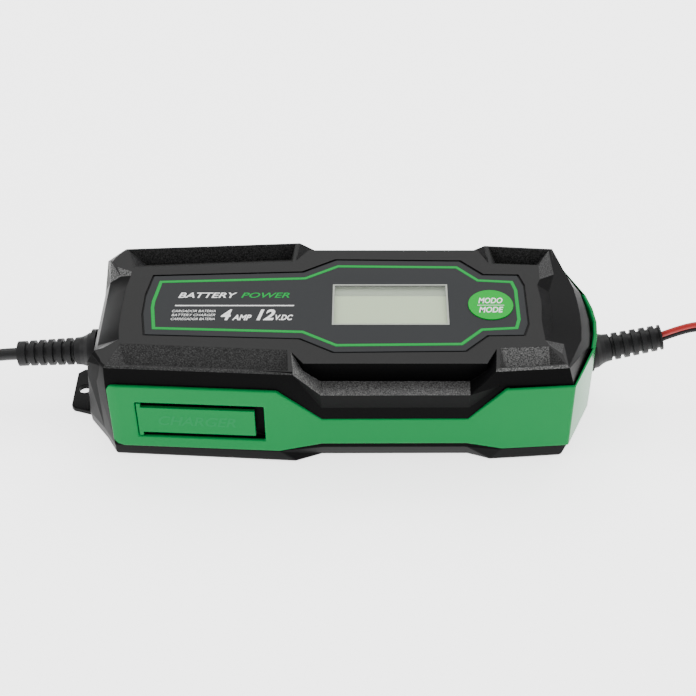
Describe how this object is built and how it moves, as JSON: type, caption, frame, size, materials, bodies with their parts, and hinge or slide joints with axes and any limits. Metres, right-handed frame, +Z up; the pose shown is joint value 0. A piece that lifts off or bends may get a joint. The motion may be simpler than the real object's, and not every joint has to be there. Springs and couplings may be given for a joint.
{
  "type": "car battery charger",
  "caption": "Hand-sized 12 V battery charger: faceted black clamshell with display and key, green side trim with a sprung clip, mains lead with plug, twin output lead with two clamps.",
  "frame": {"origin": "middle of the housing's length and width, on its flat base", "axes": "+X along the housing towards the output lead, +Y towards the back long side, +Z up out of the top panel"},
  "size_m": [0.5103, 0.0932, 0.0473],
  "materials": {
    "shell_black": "satin injection-moulded ABS with a fine grain",
    "trim_green": "glossy translucent-looking green plastic",
    "label_grey": "printed polycarbonate label",
    "lens_clear": "clear acrylic window",
    "lcd_glass": "passive display glass, pale grey-green",
    "frame_white": "white display frame",
    "key_green": "satin green key",
    "board_green": "solder-masked circuit board",
    "part_black": "black moulded part",
    "ferrite": "ferrite",
    "winding_tape": "yellow winding tape",
    "sleeve_blue": "printed plastic sleeve",
    "film_yellow": "yellow film capacitor case",
    "ceramic_white": "ceramic tube",
    "heat_alu": "extruded aluminium",
    "copper_wire": "enamelled copper wire",
    "relay_blue": "relay case",
    "wire_brown": "PVC insulation",
    "wire_red": "PVC insulation",
    "screw_steel": "zinc-plated steel",
    "link_pins": "pin header",
    "rubber_black": "soft black PVC or rubber",
    "cord_black": "black PVC sheath",
    "cord_twin": "twin lead, one core red and one black",
    "cord_red": "red PVC sheath",
    "pin_brass": "nickel-plated brass",
    "clamp_red": "glossy red plastic",
    "clamp_black": "glossy black plastic",
    "pin_steel": "plain steel",
    "contact_copper": "copper-plated steel"
  },
  "bodies": {
    "housing": {"top_cover": "shell_black", "bottom_cover": "shell_black", "cover_gasket": "rubber_black", "side_trim": "trim_green", "label_sheet": "label_grey", "window_lens": "lens_clear", "lcd_panel": "lcd_glass", "lcd_frame": "frame_white", "key_switch": "part_black", "display_board": "board_green", "display_screws": "screw_steel", "board_link": "link_pins", "main_board": "board_green", "transformer_core": "ferrite", "transformer_coil": "winding_tape", "bulk_capacitor": "sleeve_blue", "output_capacitors": "sleeve_blue", "filter_capacitor": "film_yellow", "mains_fuse": "ceramic_white", "bridge_rectifier": "part_black", "switching_transistor": "part_black", "heat_sink": "heat_alu", "output_choke": "copper_wire", "output_relay": "relay_blue", "mains_wires": "wire_brown", "output_wires": "wire_red", "cover_screws": "screw_steel", "board_screws": "screw_steel", "mains_strain_relief": "rubber_black", "output_strain_relief": "rubber_black", "mains_lead": "cord_black", "mains_coil": "cord_black", "mains_tie": "part_black", "plug_body": "rubber_black", "plug_pins": "pin_brass", "output_lead": "cord_twin", "output_coil": "cord_twin", "output_tie": "part_black", "lead_splitter": "rubber_black", "red_branch": "cord_red", "black_branch": "cord_black", "red_clamp_fixed_jaw": "clamp_red", "red_clamp_pin": "pin_steel", "red_clamp_spring": "pin_steel", "red_clamp_fixed_contact": "contact_copper", "black_clamp_fixed_jaw": "clamp_black", "black_clamp_pin": "pin_steel", "black_clamp_spring": "pin_steel", "black_clamp_fixed_contact": "contact_copper"},
    "key": {"mode_key": "key_green"},
    "clip": {"belt_clip": "trim_green"},
    "red_jaw": {"red_clamp_moving_jaw": "clamp_red", "red_clamp_moving_contact": "contact_copper"},
    "black_jaw": {"black_clamp_moving_jaw": "clamp_black", "black_clamp_moving_contact": "contact_copper"}
  },
  "joints": [
    {"name": "mode_key_press", "type": "slide", "parent": "housing", "child": "key", "axis": [0, 0, -1], "range_m": [0, 0.0005], "stiffness_N_per_m": 2500},
    {"name": "belt_clip_flex", "type": "hinge", "parent": "housing", "child": "clip", "pos_m": [-0.0774, -0.0371, 0.021], "axis": [0, 0, -1], "range_deg": [0, 6], "stiffness_Nm_per_rad": 2},
    {"name": "red_clamp_open", "type": "hinge", "parent": "housing", "child": "red_jaw", "pos_m": [0.19, -0.031, 0.006], "axis": [0, 0, 1], "range_deg": [0, 25], "stiffness_Nm_per_rad": 0.6},
    {"name": "black_clamp_open", "type": "hinge", "parent": "housing", "child": "black_jaw", "pos_m": [0.212, 0.02, 0.01725], "axis": [0, 0, 1], "range_deg": [0, 25], "stiffness_Nm_per_rad": 0.6}
  ]
}
